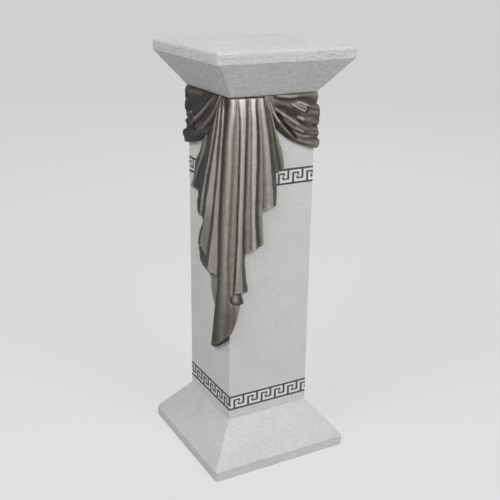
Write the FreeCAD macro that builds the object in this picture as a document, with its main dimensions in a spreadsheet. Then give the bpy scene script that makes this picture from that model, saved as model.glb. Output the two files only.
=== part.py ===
import FreeCAD, Part
import math
import os
import Sketcher

# Pedestal column: a hollow-cast square base, shaft and capital, two key-pattern bands let into the
# shaft, and a gathered cloth cast in relief, which hangs over the front corner (-X, -Y) and swags
# round the two side corners to the back corner (+X, +Y).
# Millimetres, +Z up, the origin on the floor at the middle of the base. The front face looks at -Y.

SIZES = [
    ("total_height", 800, "floor to top of capital"),
    ("shaft_side", 173, "outside width of shaft"),
    ("shaft_wall", 14, "cast wall of shaft"),
    ("shaft_corner_radius", 2, "rounding of shaft's upright corners"),
    ("base_side", 288, "outside width of base"),
    ("base_height", 91, "floor to foot of shaft"),
    ("base_lip_height", 20, "upright edge of base"),
    ("base_corner_radius", 6, "rounding of base's corners"),
    ("base_neck_ledge", 1, "base's top past shaft, each side"),
    ("base_rim", 22, "width of base's rim on the floor"),
    ("base_top_wall", 16, "thickness of base's top"),
    ("capital_side", 274, "outside width of capital"),
    ("capital_height", 82, "height of capital"),
    ("capital_lip_height", 20, "upright edge of capital"),
    ("capital_corner_radius", 6, "rounding of capital's corners"),
    ("capital_arris_radius", 6, "rounding of top edge"),
    ("capital_overhang", 3, "capital's neck past shaft, each side"),
    ("capital_slab", 22, "thickness of top slab"),
    ("capital_rim", 22, "wall of capital under the slab"),
    ("capital_floor_wall", 16, "thickness of capital's underside"),
    ("bed_thickness", 1.5, "plaster bed at each joint"),
    ("spigot_height", 30, "spigot's reach into shaft"),
    ("spigot_wall", 12, "wall of spigot"),
    ("spigot_clearance", 1.5, "gap round a spigot"),
    ("band_height", 32.5, "height of a key band"),
    ("band_thickness", 1.5, "thickness of a key band's strip"),
    ("lower_band_level", 125.25, "middle of lower band above floor"),
    ("upper_band_drop", 233.25, "middle of upper band below top"),
    ("drape_joint_gap", 0.5, "gap between drape and capital"),
    ("drape_top_relief", 4, "relief of drape at the joint line"),
    ("tail_drop", 484, "joint line to lowest tip of tail"),
    ("tail_edge_relief", 8, "relief in the tail's grooves"),
    ("tail_crown_rise", 8, "rise of a tail's pleat over its grooves"),
    ("swag_drop", 101, "joint line to lowest edge of a swag"),
    ("swag_edge_relief", 6, "relief in a swag's grooves"),
    ("swag_crown_rise", 7, "rise of a swag's fold over its grooves"),
]

# The tail is drawn unrolled: each point is (drop below the joint line, distance from the front
# corner), with the front face's distances positive and the left face's negative.
DRAWN_TAIL_DROP = 484.0
TAIL_EDGES = {
    "left_rim": [(0, -23), (28, -38), (75, -70), (120, -103), (186, -143)],
    "left_flap_groove": [(0, -16), (28, -28), (75, -50), (120, -70), (184, -100), (232, -88)],
    "left_outer_groove": [(0, -11), (28, -21), (75, -36), (120, -49), (220, -79), (292, -103)],
    "left_inner_groove": [(0, -6), (28, -12), (75, -21), (120, -28), (220, -46), (332, -66)],
    "corner_left_groove": [(0, -2), (75, -6), (120, -9), (220, -18), (320, -28), (484, -47)],
    "corner_right_groove": [(0, 9), (75, 12), (120, 13), (220, 9), (320, 5), (375, 20), (440, 6)],
    "right_inner_groove": [(0, 31), (75, 27), (220, 21), (288, 27), (360, 34)],
    "right_outer_groove": [(0, 48), (75, 50), (200, 57), (272, 66)],
    "right_flap_groove": [(0, 60), (28, 70), (75, 76), (140, 92), (200, 91)],
    "right_rim": [(0, 63), (28, 79), (57, 88), (118, 102), (133, 104)],
    "left_end_rim": [(290, -62), (350, -62), (400, -50)],
    "right_end_left": [(340, 4), (384, 8)],
    "right_end_right": [(340, 18), (384, 27)],
}
# Each pleat: left edge, right edge, drop where it starts, hem's drop at its left and at its right,
# and its share of the full relief.
TAIL_PLEATS = [
    ("left_rim", "left_flap_groove", 0, 186, 180, 1.0),
    ("left_flap_groove", "left_outer_groove", 0, 228, 236, 1.0),
    ("left_outer_groove", "left_inner_groove", 0, 292, 330, 1.0),
    ("left_inner_groove", "corner_left_groove", 0, 332, 346, 1.0),
    ("left_end_rim", "corner_left_groove", 290, 385, 400, 0.7),
    ("corner_right_groove", "right_inner_groove", 0, 366, 358, 1.0),
    ("right_end_left", "right_end_right", 340, 384, 384, 0.85),
    ("right_inner_groove", "right_outer_groove", 0, 288, 272, 1.0),
    ("right_outer_groove", "right_flap_groove", 0, 209, 200, 1.0),
    ("right_flap_groove", "right_rim", 0, 140, 133, 1.0),
]
CORNER_PLEAT = ("corner_left_groove", "corner_right_groove", 0, 484, 434, 1.0)
TAIL_STATIONS = [0, 28, 75, 120, 220, 320, 375]
# Least drop from a pleat's last cross-section to its hem.
HEM_ROOM = 15.0
# Each pleat and fold runs on a little under its neighbour, so that they are one solid.
PLEAT_OVERLAP = 0.8
# The relief is thin at the joint line, with this share of its rise, and full at this drop.
TOP_RISE_SHARE = 0.3
FULL_RELIEF_DROP = 28.0
# An arch rises by no more than this share of its width, which keeps it under a half circle.
ARCH_LIMIT = 0.4
# The corner pleat is flat for this distance on each side of the corner.
CORNER_FLAT = 3.0

# A swag's folds are drawn between edges that run from the tail round the side corner to the back
# corner. Each edge gives its drop at the tail, on the near face, at the side corner, on the far
# face and at the back corner.
DRAWN_SWAG_DROP = 101.0
SWAG_EDGES = [
    (0, 0, 0, 0, 0),
    (7, 13, 20, 14, 8),
    (14, 28, 44, 30, 16),
    (24, 42, 62, 46, 26),
    (36, 60, 81, 64, 38),
    (56, 84, 101, 86, 52),
]
# Share of the full relief in the same five places.
SWAG_FULLNESS = (0.6, 0.9, 1.0, 0.9, 0.6)
# Places along a face, as shares of its width: the middle of a stretch, and where the turn begins.
SWAG_MIDDLE_SHARE = 0.34
SWAG_TURN_SHARE = 0.94
# Relief along each face's normal at a corner, as a share of the relief beside it: a rounded turn.
MITRE_SHARE = 0.52
# Each fold starts at this distance from the front corner, under the tail's rim.
SWAG_STARTS = {
    "drape_swag_right": (60, 64, 70, 76, 82),
    "drape_swag_left": (20, 24, 32, 44, 58),
}

doc = FreeCAD.newDocument("PedestalColumn")
vector = FreeCAD.Vector


def make_sheet():
    """The spreadsheet of driving dimensions, one alias each."""
    made = doc.addObject("Spreadsheet::Sheet", "Sizes")
    for row, (alias, value, meaning) in enumerate(SIZES, start=1):
        made.set(f"A{row}", meaning)
        made.set(f"B{row}", str(value))
        made.setAlias(f"B{row}", alias)
    doc.recompute()
    return made


sheet = make_sheet()


def size(alias):
    return float(sheet.get(alias))


# ---------------------------------------------------------------- levels and inner widths

SHAFT_FOOT = "Sizes.base_height + Sizes.bed_thickness"
CAPITAL_FOOT = "Sizes.total_height - Sizes.capital_height"
SHAFT_TOP = f"{CAPITAL_FOOT} - Sizes.bed_thickness"
CAPITAL_LIP = "Sizes.total_height - Sizes.capital_lip_height"
SHAFT_BORE = "Sizes.shaft_side - 2 * Sizes.shaft_wall"
SPIGOT_SIDE = f"{SHAFT_BORE} - 2 * Sizes.spigot_clearance"
SPIGOT_BORE = f"{SPIGOT_SIDE} - 2 * Sizes.spigot_wall"
SPIGOT_REACH = "Sizes.bed_thickness + Sizes.spigot_height"
BAND_FEET = {
    "lower": "Sizes.lower_band_level - Sizes.band_height / 2",
    "upper": "Sizes.total_height - Sizes.upper_band_drop - Sizes.band_height / 2",
}


# ---------------------------------------------------------------- sketch and feature helpers

def new_body(label):
    body = doc.addObject("PartDesign::Body", label)
    body.Label = label
    return body


def level_sketch(body, name, level):
    """An empty sketch on the body's XY plane, lifted to a level."""
    sketch = body.newObject("Sketcher::SketchObject", name)
    plane = [item for item in body.Origin.OriginFeatures if item.Role == "XY_Plane"][0]
    sketch.AttachmentSupport = [(plane, "")]
    sketch.MapMode = "FlatFace"
    sketch.setExpression("AttachmentOffset.Base.z", level)
    return sketch


def drive(sketch, kind, place, expression):
    """A dimension between the origin or two points of a sketch, bound to an expression."""
    value = float(sketch.evalExpression(expression))
    index = sketch.addConstraint(Sketcher.Constraint(kind, *place, value))
    sketch.setExpression(f"Constraints[{index}]", expression)


def polygon_sketch(body, name, points, level):
    """A closed outline whose corners are given by expressions."""
    sketch = level_sketch(body, name, level)
    corners = [vector(*[float(sketch.evalExpression(text)) for text in point], 0) for point in points]
    count = len(corners)
    for index in range(count):
        sketch.addGeometry(Part.LineSegment(corners[index], corners[(index + 1) % count]))
    for index in range(count):
        following = (index + 1) % count
        sketch.addConstraint(Sketcher.Constraint("Coincident", index, 2, following, 1))
    for index, (across, along) in enumerate(points):
        drive(sketch, "DistanceX", (-1, 1, index, 1), across)
        drive(sketch, "DistanceY", (-1, 1, index, 1), along)
    return sketch


def square_sketch(body, name, side, level):
    """A square centred on the column's axis."""
    low = f"-({side}) / 2"
    high = f"({side}) / 2"
    return polygon_sketch(body, name, [(low, low), (high, low), (high, high), (low, high)], level)


def rounded_square_sketch(body, name, side, radius, level):
    """A square centred on the column's axis, with rounded corners."""
    sketch = level_sketch(body, name, level)
    half = float(sketch.evalExpression(side)) / 2
    inner = half - float(sketch.evalExpression(radius))
    normal = vector(0, 0, 1)
    starts = [(-inner, -half), (half, -inner), (inner, half), (-half, inner)]
    ends = [(inner, -half), (half, inner), (-inner, half), (-half, -inner)]
    centres = [(inner, -inner), (inner, inner), (-inner, inner), (-inner, -inner)]
    for start, end in zip(starts, ends):
        sketch.addGeometry(Part.LineSegment(vector(*start, 0), vector(*end, 0)))
    for quarter, centre in enumerate(centres):
        circle = Part.Circle(vector(*centre, 0), normal, half - inner)
        turn = (quarter - 1) * math.pi / 2
        sketch.addGeometry(Part.ArcOfCircle(circle, turn, turn + math.pi / 2))
    for line in range(4):
        arc = 4 + line
        sketch.addConstraint(Sketcher.Constraint("Tangent", line, 2, arc, 1))
        sketch.addConstraint(Sketcher.Constraint("Tangent", arc, 2, (line + 1) % 4, 1))
    for line in (0, 2):
        sketch.addConstraint(Sketcher.Constraint("Horizontal", line))
        sketch.addConstraint(Sketcher.Constraint("Vertical", line + 1))
    for arc in (5, 6, 7):
        sketch.addConstraint(Sketcher.Constraint("Equal", 4, arc))
    sketch.addConstraint(Sketcher.Constraint("Equal", 0, 1))
    sketch.addConstraint(Sketcher.Constraint("Symmetric", 0, 1, 2, 1, -1, 1))
    drive(sketch, "DistanceX", (3, 1, 1, 1), side)
    drive(sketch, "Radius", (4,), radius)
    return sketch


def extrude(body, kind, name, sketch, length, upwards):
    """A pad or pocket of a level sketch. A pad goes up and a pocket down unless reversed."""
    feature = body.newObject(f"PartDesign::{kind}", name)
    feature.Profile = sketch
    feature.setExpression("Length", length)
    feature.Reversed = upwards if kind == "Pocket" else not upwards
    return feature


def loft(body, kind, name, low_sketch, high_sketch):
    """A straight-sided loft, added or subtracted, between two level sketches."""
    feature = body.newObject(f"PartDesign::{kind}", name)
    feature.Profile = low_sketch
    feature.Sections = [high_sketch]
    feature.Ruled = True
    return feature


# ---------------------------------------------------------------- cast pieces

def make_base():
    """Base: an upright lip, a pyramid slope and a spigot, hollow from the floor up."""
    body = new_body("base")
    neck_side = "Sizes.shaft_side + 2 * Sizes.base_neck_ledge"
    cavity_top = "Sizes.base_height - Sizes.base_top_wall"
    floor_side = "Sizes.base_side - 2 * Sizes.base_rim"
    foot = rounded_square_sketch(body, "base_foot", "Sizes.base_side", "Sizes.base_corner_radius", "0")
    extrude(body, "Pad", "base_lip", foot, "Sizes.base_lip_height", True)
    shoulder = rounded_square_sketch(body, "base_shoulder", "Sizes.base_side",
                                     "Sizes.base_corner_radius", "Sizes.base_lip_height")
    neck = rounded_square_sketch(body, "base_neck", neck_side,
                                 "Sizes.shaft_corner_radius + Sizes.base_neck_ledge", "Sizes.base_height")
    loft(body, "AdditiveLoft", "base_slope", shoulder, neck)
    spigot = square_sketch(body, "base_spigot_outline", SPIGOT_SIDE, "Sizes.base_height")
    extrude(body, "Pad", "base_spigot", spigot, SPIGOT_REACH, True)
    mouth = square_sketch(body, "base_mouth", floor_side, "0")
    extrude(body, "Pocket", "base_mouth_hollow", mouth, "Sizes.base_lip_height", True)
    cavity_low = square_sketch(body, "base_cavity_low", floor_side, "Sizes.base_lip_height")
    cavity_high = square_sketch(body, "base_cavity_high", SHAFT_BORE, cavity_top)
    loft(body, "SubtractiveLoft", "base_cavity", cavity_low, cavity_high)
    bore = square_sketch(body, "base_bore_outline", SPIGOT_BORE, f"Sizes.base_height + {SPIGOT_REACH}")
    extrude(body, "Pocket", "base_bore", bore, f"Sizes.base_top_wall + {SPIGOT_REACH}", False)


def make_shaft():
    """Shaft: a square tube with a shallow rebate round it for each band."""
    body = new_body("shaft")
    length = f"({SHAFT_TOP}) - ({SHAFT_FOOT})"
    outline = rounded_square_sketch(body, "shaft_outline", "Sizes.shaft_side",
                                    "Sizes.shaft_corner_radius", SHAFT_FOOT)
    extrude(body, "Pad", "shaft_block", outline, length, True)
    bore = square_sketch(body, "shaft_bore_outline", SHAFT_BORE, SHAFT_TOP)
    extrude(body, "Pocket", "shaft_bore", bore, length, False)
    for band, foot in BAND_FEET.items():
        rebate = square_sketch(body, f"{band}_rebate_outline",
                               "Sizes.shaft_side + 2 * Sizes.shaft_wall", foot)
        add_square(rebate, "Sizes.shaft_side - 2 * Sizes.band_thickness")
        extrude(body, "Pocket", f"{band}_rebate", rebate, "Sizes.band_height", True)


def add_square(sketch, side):
    """A second square inside a square sketch, which leaves a ring."""
    half = float(sketch.evalExpression(side)) / 2
    first = sketch.GeometryCount
    corners = [(-half, -half), (half, -half), (half, half), (-half, half)]
    signs = [("-", "-"), ("", "-"), ("", ""), ("-", "")]
    for index in range(4):
        start = vector(*corners[index], 0)
        end = vector(*corners[(index + 1) % 4], 0)
        sketch.addGeometry(Part.LineSegment(start, end))
    for index in range(4):
        line = first + index
        following = first + (index + 1) % 4
        sketch.addConstraint(Sketcher.Constraint("Coincident", line, 2, following, 1))
    for index, (across, along) in enumerate(signs):
        drive(sketch, "DistanceX", (-1, 1, first + index, 1), f"{across}({side}) / 2")
        drive(sketch, "DistanceY", (-1, 1, first + index, 1), f"{along}({side}) / 2")


def make_capital():
    """Capital: a spigot, a flare and a top slab with a rounded arris, hollow from below."""
    body = new_body("capital")
    neck_side = "Sizes.shaft_side + 2 * Sizes.capital_overhang"
    cavity_floor = f"{CAPITAL_FOOT} + Sizes.capital_floor_wall"
    slab_foot = "Sizes.total_height - Sizes.capital_slab"
    neck = rounded_square_sketch(body, "capital_neck", neck_side,
                                 "Sizes.shaft_corner_radius + Sizes.capital_overhang", CAPITAL_FOOT)
    plate = rounded_square_sketch(body, "capital_plate", "Sizes.capital_side",
                                  "Sizes.capital_corner_radius", CAPITAL_LIP)
    loft(body, "AdditiveLoft", "capital_flare", neck, plate)
    lip_outline = rounded_square_sketch(body, "capital_lip_outline", "Sizes.capital_side",
                                        "Sizes.capital_corner_radius", CAPITAL_LIP)
    lip = extrude(body, "Pad", "capital_lip", lip_outline, "Sizes.capital_lip_height", True)
    doc.recompute()
    arris = body.newObject("PartDesign::Fillet", "capital_arris")
    arris.Base = (lip, edges_at_level(lip.Shape, size("total_height")))
    arris.setExpression("Radius", "Sizes.capital_arris_radius")
    spigot = square_sketch(body, "capital_spigot_outline", SPIGOT_SIDE, CAPITAL_FOOT)
    extrude(body, "Pad", "capital_spigot", spigot, SPIGOT_REACH, False)
    bore = square_sketch(body, "capital_bore_outline", SPIGOT_BORE, f"{CAPITAL_FOOT} - ({SPIGOT_REACH})")
    extrude(body, "Pocket", "capital_bore", bore, f"Sizes.capital_floor_wall + {SPIGOT_REACH}", True)
    cavity_low = square_sketch(body, "capital_cavity_low", SHAFT_BORE, cavity_floor)
    cavity_high = square_sketch(body, "capital_cavity_high",
                                "Sizes.capital_side - 2 * Sizes.capital_rim", slab_foot)
    loft(body, "SubtractiveLoft", "capital_cavity", cavity_low, cavity_high)


def edges_at_level(shape, level):
    """Names of a shape's edges that lie at one height."""
    names = []
    for index, edge in enumerate(shape.Edges, start=1):
        box = edge.BoundBox
        if abs(box.ZMin - level) < 0.001 and abs(box.ZMax - level) < 0.001:
            names.append(f"Edge{index}")
    return names


def make_bed(label, level):
    """Thin plaster bed between the shaft and the piece it stands on or carries."""
    body = new_body(label)
    outline = rounded_square_sketch(body, f"{label}_outline", "Sizes.shaft_side",
                                    "Sizes.shaft_corner_radius", level)
    extrude(body, "Pad", f"{label}_layer", outline, "Sizes.bed_thickness", True)
    hole = square_sketch(body, f"{label}_hole_outline", SHAFT_BORE, level)
    extrude(body, "Pocket", f"{label}_hole", hole, "Sizes.bed_thickness", True)


# ---------------------------------------------------------------- key bands

def make_key_strip(band, side_name, quarter_turns):
    """One mitred strip of a band, let into the shaft's rebate on one face."""
    label = f"{band}_key_{side_name}"
    body = new_body(label)
    half = "Sizes.shaft_side / 2"
    inner = f"({half} - Sizes.band_thickness)"
    tangent = f"({half} - Sizes.shaft_corner_radius)"
    corner = f"({half} - Sizes.shaft_corner_radius * (1 - 1 / sqrt(2)))"
    outline = [(f"-{tangent}", f"-{half}"), (tangent, f"-{half}"), (corner, f"-{corner}"),
               (inner, f"-{inner}"), (f"-{inner}", f"-{inner}"), (f"-{corner}", f"-{corner}")]
    sketch = polygon_sketch(body, f"{label}_outline", outline, BAND_FEET[band])
    extrude(body, "Pad", f"{label}_strip", sketch, "Sizes.band_height", True)
    body.Placement = FreeCAD.Placement(vector(0, 0, 0), FreeCAD.Rotation(vector(0, 0, 1), 90 * quarter_turns))


# ---------------------------------------------------------------- cast drapery

def between(points, place):
    """Value at a place on a line of (place, value) points, whose last stretch carries on."""
    for (start, low), (end, high) in zip(points, points[1:]):
        if place <= end:
            break
    return low + (high - low) * (place - start) / (end - start)


def drape_top():
    return size("total_height") - size("capital_height") - size("drape_joint_gap")


def tail_point(along, relief, height):
    """A point over the front face (along > 0) or the left face (along < 0)."""
    half = size("shaft_side") / 2
    if along >= 0:
        return vector(along - half, -half - relief, height)
    return vector(-half - relief, -along - half, height)


def tail_relief(drop, share, width):
    """Relief at a pleat's edges and at its crown: thin at the joint line, full below it."""
    grown = min(drop / FULL_RELIEF_DROP, 1.0)
    top = size("drape_top_relief")
    edge = share * (top + (size("tail_edge_relief") - top) * grown)
    rise = size("tail_crown_rise") * (TOP_RISE_SHARE + (1 - TOP_RISE_SHARE) * grown)
    return edge, edge + share * min(rise, ARCH_LIMIT * width)


def pleat_section(left, right, drop, hem_slope, share):
    """A pleat's cross-section: flat against the shaft's face, arched in front."""
    edge, crown = tail_relief(drop, share, right - left)
    top = drape_top()
    scale = size("tail_drop") / DRAWN_TAIL_DROP
    middle = (left + right) / 2

    def place(along, relief):
        return tail_point(along, relief, top - scale * (drop + hem_slope * (along - middle)))

    corners = [place(left, 0), place(right, 0), place(right, edge), place(left, edge)]
    arch = Part.Arc(corners[2], place(middle, crown), corners[3]).toShape()
    sides = [Part.makeLine(corners[0], corners[1]), Part.makeLine(corners[1], corners[2])]
    return Part.Wire(sides + [arch, Part.makeLine(corners[3], corners[0])])


def corner_section(left, right, drop, hem_slope, share):
    """The corner pleat's cross-section, which wraps the shaft's upright corner."""
    edge, crown = tail_relief(drop, share, right - left)
    half = size("shaft_side") / 2
    top = drape_top()
    scale = size("tail_drop") / DRAWN_TAIL_DROP
    flat = min(CORNER_FLAT, right / 2, -left / 2)
    middle = (left + right) / 2

    def level(point):
        return top - scale * (drop + hem_slope * (point.x - point.y - middle))

    reach = (flat + crown) / math.sqrt(2) - flat
    outline = [tail_point(right, 0, 0), vector(-half, -half, 0), tail_point(left, 0, 0),
               tail_point(left, edge, 0), tail_point(-flat, crown, 0),
               vector(-half - reach, -half - reach, 0), tail_point(flat, crown, 0),
               tail_point(right, edge, 0)]
    for point in outline:
        point.z = level(point)
    lines = [Part.makeLine(outline[index], outline[index + 1]) for index in range(4)]
    arc = Part.Arc(outline[4], outline[5], outline[6]).toShape()
    closing = [Part.makeLine(outline[6], outline[7]), Part.makeLine(outline[7], outline[0])]
    return Part.Wire(lines + [arc] + closing)


def pleat_solid(pleat, section):
    """A pleat as a straight loft from its start down to its slanted hem."""
    left_edge, right_edge, start, hem_left, hem_right, share = pleat
    hem = (hem_left + hem_right) / 2
    highest_hem = min(hem_left, hem_right)
    drops = [drop for drop in TAIL_STATIONS if start <= drop < highest_hem - HEM_ROOM]
    if not drops or drops[0] > start:
        drops.insert(0, start)
    wires = []
    for drop in drops + [hem]:
        left = between(TAIL_EDGES[left_edge], drop)
        right = between(TAIL_EDGES[right_edge], drop) + PLEAT_OVERLAP
        slope = (hem_right - hem_left) / (right - left) if drop == hem else 0.0
        wires.append(section(left, right, drop, slope, share))
    return Part.makeLoft(wires, True, True)


def make_tail():
    """Tail: pleats that fan out from the joint line and end in a stepped hem, in one casting."""
    corner_pleat = pleat_solid(CORNER_PLEAT, corner_section)
    side_pleats = [pleat_solid(pleat, pleat_section) for pleat in TAIL_PLEATS]
    return corner_pleat.multiFuse(side_pleats).removeSplitter()


def swag_frame(share):
    """A foot point on the shaft and an outward direction, from the front corner (share 0) by the
    side corner (1) to the back corner (2)."""
    half = size("shaft_side") / 2
    side = size("shaft_side")
    if share == 2:
        return vector(half, half, 0), vector(MITRE_SHARE, MITRE_SHARE, 0)
    if share > 1:
        return vector(half, (share - 1) * side - half, 0), vector(1, 0, 0)
    if share == 1:
        return vector(half, -half, 0), vector(MITRE_SHARE, -MITRE_SHARE, 0)
    return vector(share * side - half, -half, 0), vector(0, -1, 0)


def swag_section(share, upper, lower, fullness):
    """A fold's cross-section: flat against the shaft, arched outwards."""
    foot, outward = swag_frame(share)
    scale = size("swag_drop") / DRAWN_SWAG_DROP
    edge = size("swag_edge_relief") * fullness
    rise = min(size("swag_crown_rise") * fullness, ARCH_LIMIT * scale * (lower - upper))
    top = drape_top()

    def place(drop, relief):
        return foot + outward * relief + vector(0, 0, top - scale * drop)

    corners = [place(upper, 0), place(lower, 0), place(lower, edge), place(upper, edge)]
    arch = Part.Arc(corners[2], place((upper + lower) / 2, edge + rise), corners[3]).toShape()
    sides = [Part.makeLine(corners[0], corners[1]), Part.makeLine(corners[1], corners[2])]
    return Part.Wire(sides + [arch, Part.makeLine(corners[3], corners[0])])


def make_swag(label, tail):
    """Swag: folds that spread from the tail, hang lowest at the side corner and gather again at
    the back corner, in one casting that is trimmed to the tail."""
    side = size("shaft_side")
    folds = []
    for index, start in enumerate(SWAG_STARTS[label]):
        uppers = SWAG_EDGES[index]
        lowers = SWAG_EDGES[index + 1]
        overlap = PLEAT_OVERLAP if index + 2 < len(SWAG_EDGES) else 0.0
        begin = start / side
        near = begin + (1 - begin) * SWAG_MIDDLE_SHARE
        stations = [(begin, 0), (near, 1), (SWAG_TURN_SHARE, 2), (1, 2),
                    (2 - SWAG_TURN_SHARE, 2), (2 - SWAG_MIDDLE_SHARE, 3), (2, 4)]
        wires = [swag_section(share, uppers[column], lowers[column] + overlap, SWAG_FULLNESS[column])
                 for share, column in stations]
        folds.append(Part.makeLoft(wires, True, True))
    swag = folds[0].multiFuse(folds[1:]).removeSplitter()
    if label == "drape_swag_left":
        swag = swag.mirror(vector(0, 0, 0), vector(1, -1, 0))
    return max(swag.cut(tail).Solids, key=lambda solid: solid.Volume)


def add_casting(label, shape):
    feature = doc.addObject("Part::Feature", label)
    feature.Label = label
    feature.Shape = shape
    feature.Placement = FreeCAD.Placement()


# ---------------------------------------------------------------- assembly

make_base()
make_shaft()
make_capital()
make_bed("base_bed", "Sizes.base_height")
make_bed("capital_bed", SHAFT_TOP)
for band_name in BAND_FEET:
    for turns, face_name in enumerate(("front", "right", "back", "left")):
        make_key_strip(band_name, face_name, turns)
tail_shape = make_tail()
add_casting("drape_tail", tail_shape)
for swag_label in SWAG_STARTS:
    add_casting(swag_label, make_swag(swag_label, tail_shape))
doc.recompute()

failed = [item.Label for item in doc.Objects if {"Invalid", "Error"} & set(item.State)]
pieces = [item for item in doc.Objects if item.TypeId in ("PartDesign::Body", "Part::Feature")]
failed += [item.Label for item in pieces if item.Shape.isNull() or not item.Shape.isValid()]
if failed:
    raise RuntimeError(f"failed objects: {failed}")
os.makedirs("parts", exist_ok=True)
for item in pieces:
    item.Shape.exportStep(f"parts/{item.Label}.step")
    print(item.Label, len(item.Shape.Solids), round(item.Shape.Volume))
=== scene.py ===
import math

import bpy
import numpy as np
from mathutils import Matrix, Vector


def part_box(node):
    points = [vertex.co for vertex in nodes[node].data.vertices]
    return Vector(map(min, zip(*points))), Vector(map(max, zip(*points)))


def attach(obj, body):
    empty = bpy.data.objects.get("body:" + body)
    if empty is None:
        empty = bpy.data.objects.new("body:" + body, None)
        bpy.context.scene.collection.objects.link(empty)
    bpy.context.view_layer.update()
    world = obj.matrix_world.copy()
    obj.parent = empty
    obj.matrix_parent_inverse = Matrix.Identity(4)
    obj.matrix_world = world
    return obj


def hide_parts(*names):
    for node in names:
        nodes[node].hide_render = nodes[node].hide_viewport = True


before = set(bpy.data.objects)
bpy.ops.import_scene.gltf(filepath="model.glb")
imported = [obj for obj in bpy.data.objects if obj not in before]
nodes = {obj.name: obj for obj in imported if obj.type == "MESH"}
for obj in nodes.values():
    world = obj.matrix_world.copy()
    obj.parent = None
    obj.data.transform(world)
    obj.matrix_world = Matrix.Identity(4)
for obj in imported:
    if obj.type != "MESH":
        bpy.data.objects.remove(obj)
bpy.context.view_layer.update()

# The pedestal column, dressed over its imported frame. Reliefs are worked out in millimetres on the
# shaft's unrolled outline and written to the meshes in metres.

MM = 0.001


def box_mm(node):
    """Lowest and highest corner of a CAD node in millimetres."""
    return [[round(value / MM, 3) for value in corner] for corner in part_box(node)]


# -------------------- camera

CAMERA_PLACE = (-0.7420, -1.3442, 0.9463)
CAMERA_TARGET = (0.002573, 0.0, 0.401094)
CAMERA_ROLL = math.radians(0.7102)
CAMERA_LENS = 59.662


def aim(name, data, place, target, roll=0.0):
    """An object at a place that looks at a target."""
    made = bpy.data.objects.new(name, data)
    bpy.context.scene.collection.objects.link(made)
    made.location = place
    made.rotation_mode = "QUATERNION"
    turn = (Vector(target) - Vector(place)).to_track_quat("-Z", "Y")
    made.rotation_quaternion = turn @ Matrix.Rotation(roll, 4, "Z").to_quaternion()
    return made


def make_camera():
    data = bpy.data.cameras.new("camera")
    data.lens = CAMERA_LENS
    data.sensor_width = 36.0
    data.clip_end = 200.0
    bpy.context.scene.camera = aim("camera", data, CAMERA_PLACE, CAMERA_TARGET, CAMERA_ROLL)


# -------------------- the shaft's unrolled outline

HALF = box_mm("shaft")[1][0]
ROUND = 2.0
INNER = HALF - ROUND
RUN = 2 * INNER
# Distances along the outline are measured at this relief, so a corner's quarter turn has this length.
MEAN_RELIEF = 10.0
TURN = math.pi / 2 * (ROUND + MEAN_RELIEF)
LAP = RUN + TURN
# The drape's upper edge is the joint line.
TOP = box_mm("drape_tail")[1][2]


def wrap(along, relief, drop):
    """Points (mm) at a distance along the outline, a relief and a drop below the joint line.

    Distances start at the front corner. Positive ones run over the front face, round the side
    corner to the back corner, and negative ones mirror them over the left face."""
    reach = np.abs(along) + TURN / 2
    corner = np.floor(reach / LAP)
    beyond = reach - corner * LAP
    heading = math.pi / 2 * corner
    normal = math.pi + heading + np.minimum(beyond, TURN) / TURN * math.pi / 2
    straight = np.maximum(beyond - TURN, 0.0)
    corner_x = np.where((corner % 4 == 0) | (corner % 4 == 3), -INNER, INNER)
    corner_y = np.where(corner % 4 < 2, -INNER, INNER)
    x = corner_x + (ROUND + relief) * np.cos(normal) + straight * np.cos(heading)
    y = corner_y + (ROUND + relief) * np.sin(normal) + straight * np.sin(heading)
    mirrored = along < 0
    return np.stack([np.where(mirrored, y, x), np.where(mirrored, x, y), TOP - drop], -1)


# -------------------- relief helpers

def eased(share):
    """A share from 0 to 1 that starts and ends gently."""
    return share * share * (3 - 2 * share)


def smooth_line(places, points, width):
    """Values at places of a line through (place, value) points, averaged over a width.

    Before its first point the line goes on with its first slope."""
    step = places[1] - places[0]
    count = max(1, int(round(width / step / 2)))
    table = np.array(points, float)
    padded = np.concatenate([places[0] + step * np.arange(-count, 0), places,
                             places[-1] + step * np.arange(1, count + 1)])
    values = np.interp(padded, table[:, 0], table[:, 1])
    first = (table[1, 1] - table[0, 1]) / (table[1, 0] - table[0, 0])
    values = np.where(padded < table[0, 0], table[0, 1] + first * (padded - table[0, 0]), values)
    window = np.ones(2 * count + 1) / (2 * count + 1)
    return np.convolve(values, window, "valid")


# Beside a sharp crease a crest's section is (1 - x ** CREST_FLATNESS) ** CREST_FALL.
CREST_FLATNESS = 2.4
CREST_FALL = 0.72


def between_rails(places, rails):
    """The rail before each place, and the place's share of the way to the next one."""
    index = np.clip(np.searchsorted(rails, places) - 1, 0, len(rails) - 2)
    gap = np.maximum(rails[index + 1] - rails[index], 0.05)
    return index, np.clip((places - rails[index]) / gap, 0.0, 1.0)


def cross_profile(places, rails, heights, crests, sharp, straight):
    """Relief along one line across the folds. Crests are broad and valleys are narrow creases.

    Both sides of a straight rail are plain slopes."""
    index, share = between_rails(places, rails)
    low, high = heights[index], heights[index + 1]
    from_crest = np.where(crests[index], share, 1 - share)
    crest_height = np.where(crests[index], low, high)
    valley_height = np.where(crests[index], high, low)
    crease = np.where(crests[index], sharp[index + 1], sharp[index])
    full = (1 - from_crest ** CREST_FLATNESS) ** CREST_FALL
    soft = 0.5 + 0.5 * np.cos(math.pi * from_crest)
    folded = valley_height + (crest_height - valley_height) * (crease * full + (1 - crease) * soft)
    sloped = low + (high - low) * eased(share)
    relief = np.where(crests[index] == crests[index + 1], sloped, folded)
    return np.where(straight[index] | straight[index + 1], low + (high - low) * share, relief)


def cross_tone(places, rails, tones):
    """Tone of the rubbed silver along one line across the folds, with its painted light and shade, from each
    rail's (before, after).
    """
    index, share = between_rails(places, rails)
    return tones[index, 1] * (1 - share) + tones[index + 1, 0] * share


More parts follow.
